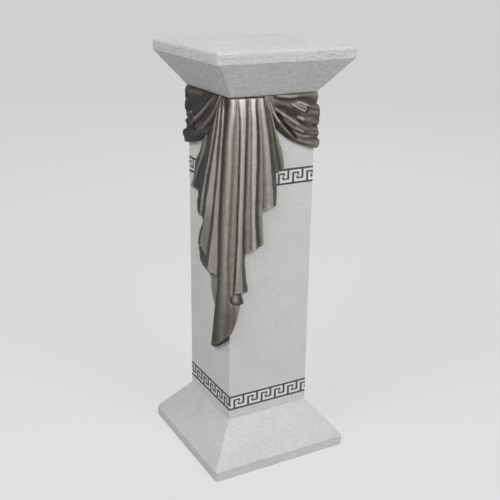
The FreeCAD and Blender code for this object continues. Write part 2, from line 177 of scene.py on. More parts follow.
def folded(lines, positions, heights, rails, tones):
    """Relief, and tone of the rubbed silver with its painted light and shade, along lines across the folds,
    with the rails' positions and reliefs on each.
    """
    crests = np.array([rail[0] == "crest" for rail in rails])
    straight = np.array([rail[0] == "pleat" for rail in rails])
    sharp = np.array([rail[1] for rail in rails], float)
    relief = [cross_profile(line, *tables, crests, sharp, straight)
              for line, *tables in zip(lines, positions.T, heights.T)]
    wear_and_light = [cross_tone(line, places, tones) for line, places in zip(lines, positions.T)]
    return np.array(relief), np.array(wear_and_light)


def value_noise(x, y, seed):
    """Smooth noise from -1 to 1 on a unit lattice."""
    table = np.random.default_rng(seed).uniform(-1, 1, (64, 64))
    column, row = np.floor(x).astype(int), np.floor(y).astype(int)
    u, v = eased(x - column), eased(y - row)

    def at(i, j):
        return table[(column + i) % 64, (row + j) % 64]

    return ((at(0, 0) * (1 - u) + at(1, 0) * u) * (1 - v)
            + (at(0, 1) * (1 - u) + at(1, 1) * u) * v)


def blur(field, count, rounds=3):
    """Box blur of a grid, with its edges repeated."""
    for _ in range(rounds):
        for axis in (0, 1):
            pad = [(0, 0), (0, 0)]
            pad[axis] = (count + 1, count)
            total = np.cumsum(np.pad(field, pad, "edge"), axis=axis)
            size = field.shape[axis]
            field = (np.take(total, np.arange(2 * count + 1, 2 * count + 1 + size), axis)
                     - np.take(total, np.arange(size), axis)) / (2 * count + 1)
    return field


CURVE_STEPS = 6


def curve_through(points):
    """Points on a smooth curve through a stroke's points."""
    given = np.array(points, float)
    if len(given) < 3:
        return [tuple(p) for p in given]
    ends = np.vstack([2 * given[0] - given[1], given, 2 * given[-1] - given[-2]])
    made = []
    for i in range(1, len(ends) - 2):
        a, b, c, d = ends[i - 1:i + 3]
        for k in range(CURVE_STEPS):
            t = k / CURVE_STEPS
            made.append(tuple(0.5 * (2 * b + (c - a) * t + (2 * a - 5 * b + 4 * c - d) * t * t
                                     + (3 * b - a - 3 * c + d) * t ** 3)))
    made.append(tuple(given[-1]))
    return made


def outline_of(strokes):
    """A closed outline from smooth strokes that meet at sharp corners."""
    points = []
    for stroke in strokes:
        points += curve_through(stroke)[:-1]
    return np.array(points)


def square_distance(x, y, start, end):
    """Squared distance from places to one straight piece of a line."""
    dx, dy = end[0] - start[0], end[1] - start[1]
    length = max(dx * dx + dy * dy, 1e-9)
    t = np.clip(((x - start[0]) * dx + (y - start[1]) * dy) / length, 0, 1)
    return (x - start[0] - t * dx) ** 2 + (y - start[1] - t * dy) ** 2


def stroke_fields(strokes, x, y):
    """Relief and silver tone, rubbed silver with painted light and shade, that strokes of (height, width,
    tone, points) add to a surface.
    """
    fields = np.zeros((4, *x.shape))
    for height, width, wear_and_light, points in strokes:
        least = np.full(x.shape, 1e9)
        line = curve_through(points)
        for start, end in zip(line, line[1:]):
            least = np.minimum(least, square_distance(x, y, start, end))
        near = np.exp(-least / width ** 2)
        for field, amount in zip(fields, (height, -height, wear_and_light, -wear_and_light)):
            np.maximum(field, amount * near, out=field)
    return fields[0] - fields[1], fields[2] - fields[3]


def inside_depth(outline, x, y):
    """Distance inside a closed outline, negative outside."""
    least = np.full(x.shape, 1e9)
    inside = np.zeros(x.shape, bool)
    for (ax, ay), (bx, by) in zip(outline, np.roll(outline, -1, 0)):
        dx, dy = bx - ax, by - ay
        least = np.minimum(least, square_distance(x, y, (ax, ay), (bx, by)))
        if dy:
            crosses = (ay > y) != (by > y)
            inside ^= crosses & (x < ax + (y - ay) * dx / dy)
    return np.where(inside, 1, -1) * np.sqrt(least)


def edge_round(depth, radius, start):
    """Share of the relief near an edge: a rounded shoulder over a short upright wall."""
    t = np.clip(depth / radius, 0.0, 1.0)
    return start + (1 - start) * np.sqrt(1 - (1 - t) ** 2)


def new_object(name, vertices, faces):
    """A mesh object from points in millimetres."""
    mesh = bpy.data.meshes.new(name)
    mesh.from_pydata((np.asarray(vertices) * MM).tolist(), [], faces)
    mesh.validate()
    made = bpy.data.objects.new(name, mesh)
    bpy.context.scene.collection.objects.link(made)
    return made


def casting(name, along, drops, relief, depth, patina_and_shade):
    """A closed casting on the shaft from a grid of reliefs. Its outline is where depth is 0."""
    rows, columns = relief.shape
    s, d = np.meshgrid(along, drops)
    inside = depth > 0
    near = inside.copy()
    near[1:] |= inside[:-1]
    near[:-1] |= inside[1:]
    grown = near.copy()
    grown[:, 1:] |= near[:, :-1]
    grown[:, :-1] |= near[:, 1:]
    slope_d, slope_s = np.gradient(depth, drops, along)
    steep = np.maximum(slope_s ** 2 + slope_d ** 2, 0.25)
    moved = grown & ~inside
    s = np.where(moved, s - depth * slope_s / steep, s)
    d = np.where(moved, np.maximum(d - depth * slope_d / steep, 0.0), d)
    touched = inside[:-1, :-1] | inside[:-1, 1:] | inside[1:, :-1] | inside[1:, 1:]
    number = np.arange(rows * columns).reshape(rows, columns)
    quads = np.stack([number[:-1, :-1], number[1:, :-1], number[1:, 1:], number[:-1, 1:]], -1)[touched]
    used, packed = np.unique(quads, return_inverse=True)
    quads = packed.reshape(-1, 4)
    count = len(used)
    s, d, h, point_patina_and_shade = (field.ravel()[used] for field in (s, d, relief, patina_and_shade))
    front = wrap(s, h, d)
    back = wrap(s, np.zeros(count), d)
    edges = np.concatenate([quads[:, [i, (i + 1) % 4]] for i in range(4)])
    keys = edges[:, 0].astype(np.int64) * count + edges[:, 1]
    mates = edges[:, 1].astype(np.int64) * count + edges[:, 0]
    rim = edges[~np.isin(keys, mates)]
    walls = np.stack([rim[:, 1], rim[:, 0], rim[:, 0] + count, rim[:, 1] + count], -1)
    faces = np.concatenate([quads, quads[:, ::-1] + count, walls])
    made = new_object(name, np.concatenate([front, back]), faces.tolist())
    # each point's darkness: patina with the painted light and shade; the inner face is fully dark
    all_patina_and_shade = np.concatenate([point_patina_and_shade, np.ones(count)]).astype(np.float32)
    made.data.attributes.new("patina_and_shade", "FLOAT", "POINT").data.foreach_set("value", all_patina_and_shade)
    made.data.polygons.foreach_set("use_smooth", np.ones(len(made.data.polygons), bool))
    return made


# -------------------- the tail over the front corner

# Each rail runs down a fold: its kind, how sharp its crease is, how bright the silver is on either
# side of it (0 dark to 1 bright: rubbed silver and patina, with painted light on faces turned to the
# light and painted shade on faces turned away), its points (drop, distance along the outline) and its
# reliefs (drop, relief).
TAIL_RAILS = [
    ("crest", 0, (0.2, 0.2),
     [(0, -34.5), (21, -44), (46, -62), (64, -79), (78, -93), (90, -106), (101, -113), (112, -119),
      (123, -128), (134, -138), (145, -142), (158, -144.5), (172, -147.5), (184, -153), (490, -290)],
     [(0, 4), (46, 6), (100, 7.5), (184, 8)]),
    ("crest", 0, (0.2, 0.7),
     [(0, -34), (21, -43.3), (46, -60.6), (72, -80), (86, -88.5), (106, -98), (128, -110), (139, -117),
      (150, -125), (161, -131), (170, -137), (184, -145), (490, -275)],
     [(0, 4.5), (46, 9), (80, 11.5), (184, 12)]),
    ("pleat", 1, (0.5, 0.22),
     [(0, -33.3), (21, -42.4), (46, -59.4), (72, -77.5), (86, -84), (96, -86.5), (106, -89.5),
      (116, -94.5), (127, -104), (138, -112.5), (149, -119.5), (161, -126), (184, -140), (490, -270)],
     [(0, 4), (46, 6.6), (80, 8.4), (184, 8.4)]),
    ("crest", 0, (0.24, 0.86),
     [(0, -32.7), (28, -40.7), (43, -45.8), (62, -53), (81, -60.4), (111, -70.5), (131, -78.1),
      (152, -86), (183, -98.4), (205, -106.5), (226, -111.3), (490, -215)],
     [(0, 5), (30, 11), (226, 11)]),
    ("pleat", 1, (0.86, 0.26),
     [(0, -32), (28, -39.8), (43, -44.2), (62, -50.7), (81, -58), (111, -67.9), (131, -75.3),
      (151, -83.1), (183, -94.6), (204, -101.3), (225, -107), (490, -210)],
     [(0, 4.2), (30, 8.6), (150, 8.6), (183, 7.9), (225, 6.8)]),
    ("crest", 0, (0.26, 0.86),
     [(0, -31.3), (23, -31.4), (32, -29.9), (50, -34.1), (68, -38.4), (87, -45.2), (127, -58.4),
      (146, -63.9), (177, -73.3), (198, -80.7), (218, -84.4), (239, -90.7), (262, -99.8), (285, -109.9),
      (307, -116.6), (490, -185)],
     [(0, 5.3), (30, 11.8), (307, 11.8)]),
    ("pleat", 1, (0.86, 0.26),
     [(0, -30.4), (23, -29.4), (31, -27.6), (50, -31.1), (68, -35.1), (87, -40.9), (106, -45.8),
      (125, -48.7), (144, -52.8), (174, -59.9), (194, -62.9), (214, -68), (235, -72.8), (256, -77.7),
      (278, -84.7), (300, -91.1), (490, -150)],
     [(0, 4.3), (31, 9.4), (87, 8.2), (125, 6.8), (300, 6.6)]),
    ("crest", 0, (0.26, 0.86),
     [(0, -24.5), (13, -20.2), (21, -17.3), (29, -15.3), (47, -17.1), (65, -19.8), (83, -23.3),
      (102, -26.4), (120, -29.5), (139, -33.9), (169, -39.6), (188, -43.8), (208, -46.7), (228, -49.7),
      (249, -54.9), (270, -60.5), (291, -66.2), (314, -72.8), (345, -82), (490, -120)],
     [(0, 5.4), (29, 12), (314, 12)]),
    ("pleat", 1, (0.84, 0.24),
     [(0, -22.4), (13, -18.3), (21, -15.4), (29, -13), (47, -14.5), (65, -17.1), (83, -20.5),
      (101, -23.3), (120, -26), (139, -29.4), (168, -34.3), (187, -36.8), (207, -38.9), (226, -40.9),
      (246, -43), (306, -45.7), (345, -50), (380, -56), (490, -84)],
     [(0, 4.4), (29, 9.5), (101, 9.2), (120, 8.6), (139, 7.7), (166, 6.9), (306, 6.6)]),
    ("valley", 0.2, (0.17, 0.15),
     [(0, -8.8), (20, -6.7), (40, -6.6), (80, -11.4), (120, -15.3), (200, -24.9), (240, -28.7),
      (280, -30.2), (320, -32.7), (360, -38.1), (400, -45.5), (440, -53.4), (490, -63.1)],
     [(0, 4), (20, 5.5), (40, 8.5), (120, 8.6), (340, 8.4), (490, 8)]),
    ("crest", 0, (0.2, 0.36),
     [(0, 1), (18, 0), (35, -0.8), (53, -2.5), (79, -5.2), (115, -7.2), (143, -9.1), (161, -10.9),
      (180, -13.7), (199, -15.2), (218, -17.2), (238, -18.8), (257, -19.6), (296, -20), (337, -23.7),
      (379, -30.9), (423, -37.8), (468, -44.8), (490, -48)],
     [(0, 5.8), (20, 10.5), (35, 13.5), (380, 13.5), (470, 11.5)]),
    ("crest", 0, (0.76, 0.76),
     [(0, 8.5), (16, 7), (36, 4.5), (66, 2.3), (117, 0.8), (167, -1.1), (218, -2.7), (268, -3.4),
      (329, -4.5), (389, -6), (420, -9), (460, -14), (490, -22)],
     [(0, 6.5), (16, 11.5), (36, 15.5), (360, 16), (420, 15), (470, 12.5)]),
    ("valley", 0.35, (0.54, 0.6),
     [(0, 17.3), (17, 15.5), (37, 12), (57, 9.6), (77, 8.3), (116, 7), (167, 5), (217, 2.9), (267, 1),
      (298, 0.2), (337, 1), (357, 1.8), (400, 2), (490, -6)],
     [(0, 4.6), (20, 8.5), (40, 11.5), (60, 12), (300, 12), (360, 13), (385, 15.2), (470, 12.6)]),
    ("crest", 0, (0.68, 0.64),
     [(0, 17.8), (17, 16.8), (37, 16.4), (66, 15), (116, 13), (166, 10.5), (216, 8.5), (266, 7.3),
      (316, 6.4), (356, 4.6), (400, 6), (490, 2)],
     [(0, 4.7), (20, 9), (40, 12.2), (60, 13), (340, 13.6), (380, 15), (470, 12)]),
    ("valley", 0.9, (0.58, 0.64),
     [(0, 18.5), (18, 18.5), (38, 20), (68, 20.4), (118, 19.4), (158, 18.4), (198, 16.8), (238, 16),
      (268, 15), (288, 13.2), (318, 12), (338, 10.3), (358, 7.6), (374, 6.5), (410, 9), (490, 6)],
     [(0, 4.2), (20, 6), (40, 7.5), (340, 7.2), (368, 7.5), (386, 14), (470, 10.5)]),
    ("crest", 0, (0.8, 0.8),
     [(0, 23), (18, 22), (38, 22.8), (68, 22.9), (116, 22), (165, 20.6), (215, 19), (265, 17.6),
      (314, 16.6), (344, 16.4), (360, 17), (410, 15), (490, 12)],
     [(0, 6.5), (16, 11.5), (36, 14.8), (350, 15), (390, 12), (470, 8)]),
    ("pleat", 0, (0.78, 0.42),
     [(0, 32.2), (16, 30.4), (36, 29.5), (66, 29), (116, 27.6), (165, 26.6), (265, 23.8), (314, 24.6),
      (344, 27), (360, 29), (410, 24), (490, 18)],
     [(0, 6.2), (16, 10.9), (36, 13.9), (280, 13.9), (300, 13.4), (350, 12.9), (390, 6.9)]),
    ("valley", 0.6, (0.48, 0.54),
     [(0, 40.4), (18, 37), (38, 35.6), (68, 35), (118, 33.4), (168, 32.4), (218, 31), (268, 30.2),
      (290, 33), (318, 36.5), (338, 38.5), (357, 42), (490, 60)],
     [(0, 4.2), (20, 6.5), (40, 8), (280, 8.5), (300, 8)]),
    ("crest", 0, (0.66, 0.68),
     [(0, 41.3), (17, 39.2), (37, 39.2), (67, 39.4), (116, 38), (166, 37), (216, 36.8), (266, 36.8),
      (281, 37), (320, 44), (490, 66)],
     [(0, 4.6), (20, 8.5), (40, 11), (100, 12), (281, 12)]),
    ("valley", 0.3, (0.68, 0.68),
     [(0, 42), (17, 40.8), (37, 41.6), (67, 42.2), (117, 42.3), (167, 42.5), (216, 43.2), (266, 44),
      (490, 72)],
     [(0, 4.8), (20, 8.3), (40, 10.5), (100, 11), (281, 10.5)]),
    ("crest", 0, (0.84, 0.84),
     [(0, 44.5), (16, 43), (36, 44), (66, 44.8), (116, 45), (165, 45), (215, 45.8), (255, 46.8),
      (275, 47), (490, 78)],
     [(0, 6.4), (16, 11), (36, 14.5), (280, 14.5)]),
    ("pleat", 0, (0.8, 0.42),
     [(0, 52.2), (16, 48.9), (36, 49), (66, 50.6), (116, 51), (165, 50.4), (215, 49.6), (255, 52),
      (275, 53.6), (490, 86)],
     [(0, 6.4), (16, 11.2), (36, 14.7), (280, 14.7)]),
    ("valley", 0.9, (0.47, 0.53),
     [(0, 58.4), (18, 54.8), (38, 55.6), (68, 58), (118, 59.5), (168, 58), (218, 58), (258, 61.6),
      (276, 64), (490, 96)],
     [(0, 4.2), (20, 6), (40, 7), (276, 7)]),
    ("crest", 0, (0.68, 0.68),
     [(0, 59.8), (18, 56.8), (38, 58.2), (68, 61.4), (118, 64.7), (157, 65.5), (187, 66), (207, 63.5),
      (237, 65.5), (271, 69), (490, 106)],
     [(0, 4.8), (20, 9.5), (40, 11.5), (110, 11), (190, 10.5), (271, 10.5)]),
    ("valley", 0.5, (0.62, 0.62),
     [(0, 60.6), (18, 57.8), (38, 59.8), (68, 63.4), (118, 67.6), (157, 69.2), (187, 69.4), (210, 70),
      (271, 77), (490, 116)],
     [(0, 5), (20, 9.8), (40, 12), (80, 11), (110, 9.5), (190, 8.5), (271, 8)]),
    ("crest", 0, (0.76, 0.76),
     [(0, 65.5), (16, 62.5), (36, 64), (66, 68), (116, 73.5), (155, 76.5), (185, 79), (200, 79),
      (490, 130)],
     [(0, 6.5), (16, 11.5), (36, 14.6), (200, 15)]),
    ("pleat", 0, (0.74, 0.38),
     [(0, 67.2), (16, 66.9), (36, 68.5), (66, 74), (116, 80.5), (155, 84.5), (185, 88), (200, 89),
      (490, 138)],
     [(0, 5.9), (16, 10.4), (36, 12.9), (100, 13.9), (200, 13.9)]),
    ("valley", 0.7, (0.4, 0.44),
     [(0, 69.5), (18, 73.5), (28, 76.5), (40, 78.6), (67, 82.6), (97, 87), (117, 89.6), (137, 92),
      (157, 95), (187, 98.4), (490, 150)],
     [(0, 4.5), (20, 6.5), (60, 7), (200, 7.5)]),
    ("crest", 0, (0.46, 0.44),
     [(0, 70), (18, 75), (40, 81.2), (67, 86.6), (97, 91.6), (117, 95.6), (137, 99), (157, 103),
      (187, 107), (490, 160)],
     [(0, 4.6), (20, 7), (60, 8.4), (140, 8.6)]),
    ("valley", 0.5, (0.34, 0.4),
     [(0, 70.4), (18, 76.4), (40, 83.4), (67, 89.4), (117, 101.4), (132, 104.4), (187, 116), (490, 170)],
     [(0, 4.6), (20, 6.6), (60, 6.8), (140, 6.4)]),
    ("crest", 0, (0.6, 0.58),
     [(0, 70.9), (17, 79), (40, 85.6), (67, 92.6), (97, 102.4), (117, 108), (128, 110.4), (187, 126),
      (490, 180)],
     [(0, 5), (20, 8), (60, 9.8), (130, 10.2)]),
    ("crest", 0, (0.36, 0.36),
     [(0, 74), (17, 83), (40, 90), (67, 98), (97, 109), (128, 117), (187, 134), (490, 190)],
     [(0, 4.5), (20, 7), (60, 8.5), (130, 9)]),
]
# The top layer ends at its pleats' hems. Strokes of (distance along the outline, drop).
TAIL_TOP = [
    [(-33, -1), (-43, 21), (-61, 46), (-78, 64), (-92, 78), (-105, 90), (-112, 101), (-118, 112),
     (-127, 123), (-137, 134), (-141, 145), (-143.5, 158), (-146.5, 172), (-152, 184)],
    [(-152, 184), (-150, 188), (-145, 191)],
    [(-145, 191), (-136, 190.5), (-124, 188)],
    [(-124, 188), (-122, 194), (-127, 210), (-127, 220), (-126, 228)],
    [(-126, 228), (-120, 236), (-111, 241), (-102, 245)],
    [(-102, 245), (-112, 257), (-121, 269), (-127, 285), (-129, 298)],
    [(-129, 298), (-119, 300), (-109, 300), (-104, 306), (-97, 315), (-90, 322), (-82, 332), (-75, 337)],
    [(-75, 337), (-69, 340), (-62, 338), (-54, 340), (-44, 336)],
    [(-44, 336), (-46.5, 350), (-49.5, 365), (-53, 380), (-57.5, 400), (-61.5, 420), (-65.5, 442),
     (-69.5, 462), (-73.5, 482), (-75.5, 491)],
    [(-75.5, 491), (-74, 494), (-68, 493)],
    [(-68, 493), (-59.5, 490), (-50, 485), (-41, 478), (-30, 470.5), (-21, 464), (-12, 456), (-3, 448),
     (7, 438), (13.5, 427), (18.5, 417), (22, 405), (25, 392), (27.5, 383)],
    [(27.5, 383), (20, 382.4), (9.5, 379), (4.2, 372), (5, 364.5), (12.4, 358.5)],
    [(12.4, 358.5), (17.4, 359.4), (25.4, 360), (34, 361.4), (39.6, 362), (41.8, 359)],
    [(41.8, 359), (41.4, 352), (38.5, 338), (36.5, 318), (35.2, 300), (35, 286)],
    [(35, 286), (39.4, 283.5), (45, 280.8), (52, 280), (60, 278.4), (67, 275.5), (73.2, 272.5)],
    [(73.2, 272.5), (73, 266), (71.2, 240), (69.4, 211)],
    [(69.4, 211), (73, 207), (79, 204.8), (86, 203.4), (93, 202.6), (99, 201)],
    [(99, 201), (99.8, 190), (99.6, 170), (98.6, 152), (97.4, 140.5)],
    [(97.4, 140.5), (100.4, 140.8), (106, 137), (112, 133.2), (113.6, 130.5)],
    [(113.6, 130.5), (111.4, 117.5), (107.4, 97.5), (96.6, 67.5), (91.6, 50.5), (87.6, 37.5), (81.8, 17.5),
     (72, -1)],
]
# A lower layer shows under the left hems and at the right of the corner pleat's slot.
TAIL_UNDER = [
    [(-129, 290), (-129, 303), (-128, 312)],
    [(-128, 312), (-126.5, 324), (-121, 332), (-114, 338), (-99, 342.5), (-82.5, 345.5)],
    [(-82.5, 345.5), (-77.5, 352), (-76.8, 362), (-76.2, 371), (-73.5, 381), (-69.5, 390), (-63.5, 400),
     (-58.5, 407), (-50, 412)],
    [(-50, 412), (-30, 400)],
    [(-30, 400), (-30, 290)],
    [(-30, 290), (-129, 290)],
]
TAIL_END = [
    [(5, 350), (4, 361), (2.4, 370), (4.6, 378), (11.5, 383.8), (19, 385.6), (27, 385.4), (35.4, 384.6)],
    [(35.4, 384.6), (33.5, 378), (31, 370), (28, 360), (27, 350)],
    [(27, 350), (5, 350)],
]

# Painted light: the silver is painted brightest at the joint line and darker towards the tail's end, as the
# light falls off down the tail.
TAIL_LIGHT_FALLOFF_DROPS = [0, 15, 40, 100, 200, 300, 370, 400, 490]
TAIL_LIGHT_FALLOFF = [1.2, 1.15, 1.06, 1.0, 0.93, 0.89, 0.83, 0.73, 0.69]
# Tone of the layer under the left hems: rubbed silver, with painted shade where the hems above overhang it.
UNDER_WEAR_AND_LIGHT_DROPS = [300, 330, 352, 410]
UNDER_WEAR_AND_LIGHT = [0.24, 0.3, 0.62, 0.5]

TAIL_ALONG = np.arange(-156.0, 120.01, 0.8)
TAIL_DROPS = np.arange(0.0, 497.01, 1.1)
RAIL_SMOOTHING = 16.0
LEAST_RELIEF = 1.2
# Hems: how far in the cloth rounds off, and the share of its relief that is an upright wall.
TOP_HEM = (3.2, 0.6)
UNDER_HEM = (3.0, 0.5)
END_HEM = (2.4, 0.6)
# The pleats of TAIL_RAILS at the right of the left flap and of the strip beside it.
FLAP_PLEAT = 2
STRIP_PLEAT = 6


def in_order(positions, gap):
    """Rails with each one at least a gap past the one before."""
    for i in range(1, len(positions)):
        positions[i] = np.maximum(positions[i], positions[i - 1] + gap)
    return positions


def top_layer(s, d):
    """Relief, and rubbed silver tone with painted light and shade, of the tail's pleated top layer."""
    positions, heights = (np.array([smooth_line(TAIL_DROPS, rail[k], RAIL_SMOOTHING)
                                    for rail in TAIL_RAILS]) for k in (3, 4))
    positions = in_order(positions, 0.7)
    tones = np.array([rail[2] for rail in TAIL_RAILS])
    waver = 0.5 * value_noise(s / 31, d / 52, 5)
    relief, wear_and_light = folded(s + waver, positions, heights, TAIL_RAILS, tones)
    fade = np.clip(d / 25, 0.2, 1)
    relief += fade * (0.2 * value_noise(s / 2.3, d / 38, 7) + 0.25 * value_noise(s / 6, d / 70, 8))
    relief += 0.12 * value_noise(s / 3.2, d / 3.4, 9)
    wear_and_light[:, 1:-1] = 0.25 * wear_and_light[:, :-2] + 0.5 * wear_and_light[:, 1:-1] + 0.25 * wear_and_light[:, 2:]
    wear_and_light *= np.interp(d, TAIL_LIGHT_FALLOFF_DROPS, TAIL_LIGHT_FALLOFF)
    # painted shade: the flap's outer pleat comes out from under the swag, so it is painted darker up there
    swag_shade = np.clip((positions[FLAP_PLEAT][:, None] + 2 - s) / 2, 0, 1) * np.clip((79 - d) / 7, 0, 1)
    wear_and_light *= 1 - 0.62 * swag_shade
    # painted shade: the pleats on the left face are painted darker towards their hems
    low_left_shade = np.clip((positions[STRIP_PLEAT][:, None] - s) / 2, 0, 1) * np.clip((d - 190) / 60, 0, 1)
    wear_and_light *= 1 - 0.2 * low_left_shade
    # the gather left of the corner is a dark hollow: patina, with painted shade under the capital
    wear_and_light *= 1 - 0.6 * np.clip((-6 - s) / 6, 0, 1) * np.clip(1 - d / 27, 0, 1)
    return relief, wear_and_light


def layer(strokes, hem, relief, s, d):
    """A layer's relief, which turns in a little along its hems, and the depth inside its outline."""
    depth = inside_depth(outline_of(strokes), s, d)
    return np.where(depth > 0, relief * edge_round(depth, *hem), 0.0), depth


def make_tail():
    """The tail: its top layer, a plain layer under its hems and the pleat's end in its slot."""
    s, d = np.meshgrid(TAIL_ALONG, TAIL_DROPS)
    relief, wear_and_light = top_layer(s, d)
    top, top_depth = layer(TAIL_TOP, TOP_HEM, relief, s, d)
    relief = 6.3 + 0.5 * value_noise(s / 5, d / 7, 11) - 0.02 * np.maximum(d - 350, 0)
    under, under_depth = layer(TAIL_UNDER, UNDER_HEM, relief, s, d)
    bulge = np.exp(-((s - 14) / 6.5) ** 2 - ((d - 371) / 11) ** 2)
    end, end_depth = layer(TAIL_END, END_HEM, 6.0 + 5.5 * bulge - 0.12 * np.maximum(s - 22, 0), s, d)
    # the hems' edges are dark: dark paint on their walls, with painted shadow cast by the hems
    wear_and_light *= 0.35 + 0.65 * np.clip(top_depth / 2.4, 0, 1)
    wear_and_light = np.where(under > top, np.interp(d, UNDER_WEAR_AND_LIGHT_DROPS, UNDER_WEAR_AND_LIGHT), wear_and_light)
    # painted shade: the pleat's end is painted darker towards its right, on the facet turned from the light
    wear_and_light = np.where(end > top, 0.62 - 0.3 * np.clip((s - 16) / 12, 0, 1), wear_and_light)
    relief = np.maximum(np.maximum(top, under), end)
    depth = np.maximum(np.maximum(top_depth, under_depth), end_depth)
    patina_and_shade = patina_and_shade_of(relief, wear_and_light, 2)
    return casting("drape_tail_cloth", TAIL_ALONG, TAIL_DROPS, np.maximum(relief, LEAST_RELIEF),
                   depth, patina_and_shade)


def patina_and_shade_of(relief, wear_and_light, reach):
    """How dark the silver is, from 0 on bright silver to 1 in a crease: patina in the creases, with the
    painted light and shade that the rails and strokes carry.

    The relief is held against its blur over a reach of grid steps."""
    cavity = np.clip((blur(relief, reach) - relief) / 2.0, -0.5, 1)
    return np.clip(1 - wear_and_light + 0.22 * cavity, 0, 1)


# -------------------- the two swags

# Each rail: its kind, how sharp its crease is, and its drops and reliefs at the stations along the
# near half of a swag. The last station is the side corner.
SWAG_STATIONS = [66, 81, 94, 106, 120, 135, 150, 162, 173]
SWAG_RAILS = [
    ("crest", 0, [0, 0, 0, 0, 0, 0, 0, 0, 0], [4, 4.5, 5.5, 6.5, 6.5, 5.5, 5, 4, 3]),
    ("crest", 0, [1, 2, 3, 3.5, 4, 4, 4.5, 6, 8], [5, 7.5, 9.5, 10, 9.5, 8.5, 7.5, 6, 4.5]),
    ("valley", 0.5, [2, 4.5, 7.5, 10, 12, 12.5, 16, 19, 21], [4.5, 6, 6.5, 6, 5.5, 5, 4.5, 3.5, 2]),
    ("crest", 0, [3, 7, 11, 14.5, 14.5, 16.5, 22, 26, 29], [5, 7.5, 8.5, 8.5, 9, 12.5, 10.5, 8.5, 8.3]),
    ("valley", 0.4, [3.5, 8.5, 12.5, 16.5, 17.5, 21, 26, 29, 31.5], [5, 7.5, 8.5, 8.5, 8, 9, 8.5, 8.2, 8.5]),
    ("crest", 0, [4, 10.4, 14.5, 19, 21, 26, 32, 34.5, 36.5], [5.5, 9, 10.5, 11, 11.5, 12.5, 9.5, 9, 9.7]),
    ("valley", 0.7, [8, 15, 21, 27, 34.5, 38, 39.5, 43, 47], [4.5, 5, 5, 4.6, 4.5, 4.8, 6, 7.6, 8.6]),
    ("crest", 0, [9, 17, 24, 31, 38.5, 43, 47, 51, 54], [4.8, 5.3, 5.5, 5.3, 5.6, 9.8, 9, 8.5, 8.8]),
    ("valley", 0.6, [10, 18.5, 26.5, 33.5, 41.5, 49, 57, 60, 62], [5, 6, 6.4, 6.2, 5.8, 4.6, 5, 4.8, 4.4]),
    ("crest", 0, [11, 21, 29, 36, 45, 55.5, 62.5, 66, 68], [6, 9.5, 11.5, 12, 12.3, 11, 8.8, 7.6, 7]),
    ("valley", 0.8, [12, 25, 35.5, 44, 53, 61, 67, 69.5, 71], [5, 5.3, 5.2, 5.2, 5.4, 5.8, 6.4, 6.8, 7]),
    ("crest", 0, [13, 26.5, 38.5, 47, 57, 65, 71.5, 73.5, 74.5],
     [5.2, 6.4, 7.5, 10.8, 11.3, 10.8, 9.8, 9.2, 9]),
    ("valley", 0.6, [13.5, 27.5, 40, 50, 63, 69, 75, 77, 78], [5.2, 6.2, 6.8, 8, 7.6, 7.6, 7.8, 8, 8]),
    ("crest", 0, [14, 28.5, 41.5, 52, 66, 72, 77.5, 79.5, 81], [5.2, 6.2, 6.6, 8.2, 10.8, 10.8, 9.3, 7.8, 7]),
    ("valley", 0.9, [14.5, 30, 44, 57, 71, 80, 82, 83, 83.8], [4.6, 4.6, 4.2, 4.1, 4.5, 6, 6.3, 6.2, 6]),
    ("crest", 0, [15.5, 33, 48.5, 61.5, 76, 84, 88.5, 91, 92],
     [6, 10, 10.8, 10.6, 11, 11.2, 11.6, 11.2, 10.8]),
    ("crest", 0, [26, 45, 62, 72.5, 82, 89.5, 95, 99, 102.5], [5, 6, 6, 6.2, 6.8, 7.4, 8.4, 8.8, 9]),
]
# Each rail's relief at the left swag's side corner, and its drop at the back corner.
LEFT_CORNER = [3.5, 7, 7.4, 5.6, 7.2, 7.6, 6.4, 4.2, 1.8, 7.6, 5.6, 3.6, 3.0, 5.2, 9.4, 13.0, 9.5]
BACK_DROPS = [0, 2.5, 5.5, 8.5, 11, 14, 17.5, 20.5, 24, 27.5, 31, 34.5, 38, 41, 44.5, 49, 55]
SIDE_CORNER = LAP
BACK_CORNER = 2 * LAP
